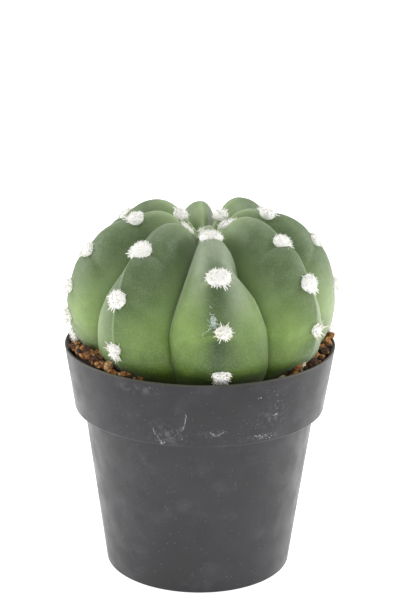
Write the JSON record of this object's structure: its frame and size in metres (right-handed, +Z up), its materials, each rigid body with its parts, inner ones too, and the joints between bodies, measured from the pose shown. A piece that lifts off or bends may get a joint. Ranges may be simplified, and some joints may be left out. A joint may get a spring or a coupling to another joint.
{
  "type": "potted domino cactus",
  "caption": "Small round cactus with broad ribs and white woolly areoles, set in potting mix in a tapered round nursery pot.",
  "frame": {"origin": "centre of the pot's underside, on the surface it stands on", "axes": "+Z up along the pot's axis, -Y towards the front, +X to the right seen from the front"},
  "size_m": [0.0659, 0.0652, 0.0873],
  "materials": {
    "pot_plastic": "semi-matte charcoal plastic, dusty and lightly scuffed",
    "potting_mix": "rough orange-brown crumbs",
    "cactus_skin": "waxy green skin with white wool cushions and short pale spines"
  },
  "bodies": {
    "root": {"pot": "pot_plastic", "soil": "potting_mix", "cactus": "cactus_skin"}
  },
  "joints": []
}
